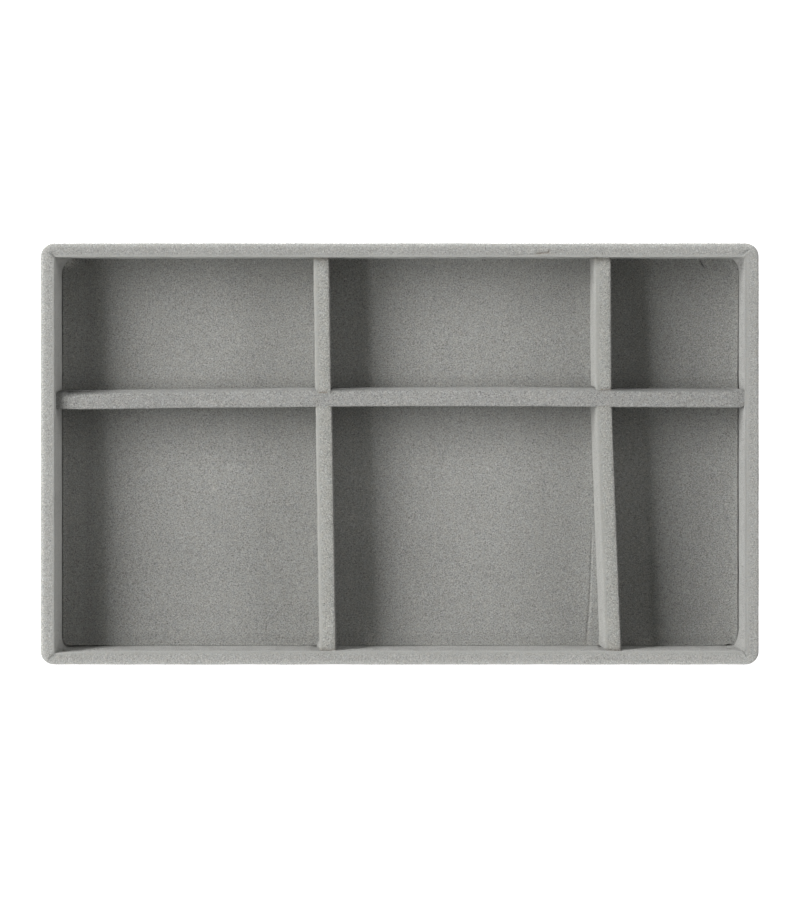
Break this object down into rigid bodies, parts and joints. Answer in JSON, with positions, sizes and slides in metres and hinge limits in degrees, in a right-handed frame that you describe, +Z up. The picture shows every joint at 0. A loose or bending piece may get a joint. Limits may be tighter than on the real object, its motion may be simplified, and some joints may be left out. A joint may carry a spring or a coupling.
{
  "type": "jewelry display tray",
  "caption": "Shallow open tray of velour-wrapped board, parted by wrapped dividers into compartments of different sizes for rings, earrings and watches.",
  "frame": {"origin": "middle of the underside, on the face the tray rests on", "axes": "+X along the tray to the right, where the narrow column is; +Y to the back, where the shallow row is; +Z up out of the compartments"},
  "size_m": [0.24, 0.141, 0.03],
  "materials": {
    "wall_velour": "short-pile velour, matt",
    "floor_velour": "short-pile velour, flatter nap, matt",
    "divider_velour": "short-pile velour, matt",
    "lining_cloth": "thin pressed felt, matt",
    "grey_board": "bare pulp board"
  },
  "bodies": {
    "root": {"front_wall_board": "grey_board", "back_wall_board": "grey_board", "left_wall_board": "grey_board", "right_wall_board": "grey_board", "wall_cover": "wall_velour", "base_board": "grey_board", "floor_card": "grey_board", "floor_cover": "floor_velour", "underside_infill": "grey_board", "underside_lining": "lining_cloth", "long_divider_board": "grey_board", "long_divider_cover": "divider_velour", "left_back_divider_board": "grey_board", "left_back_divider_cover": "divider_velour", "right_back_divider_board": "grey_board", "right_back_divider_cover": "divider_velour", "left_front_divider_board": "grey_board", "left_front_divider_cover": "divider_velour", "right_front_divider_board": "grey_board", "right_front_divider_cover": "divider_velour"}
  },
  "joints": []
}
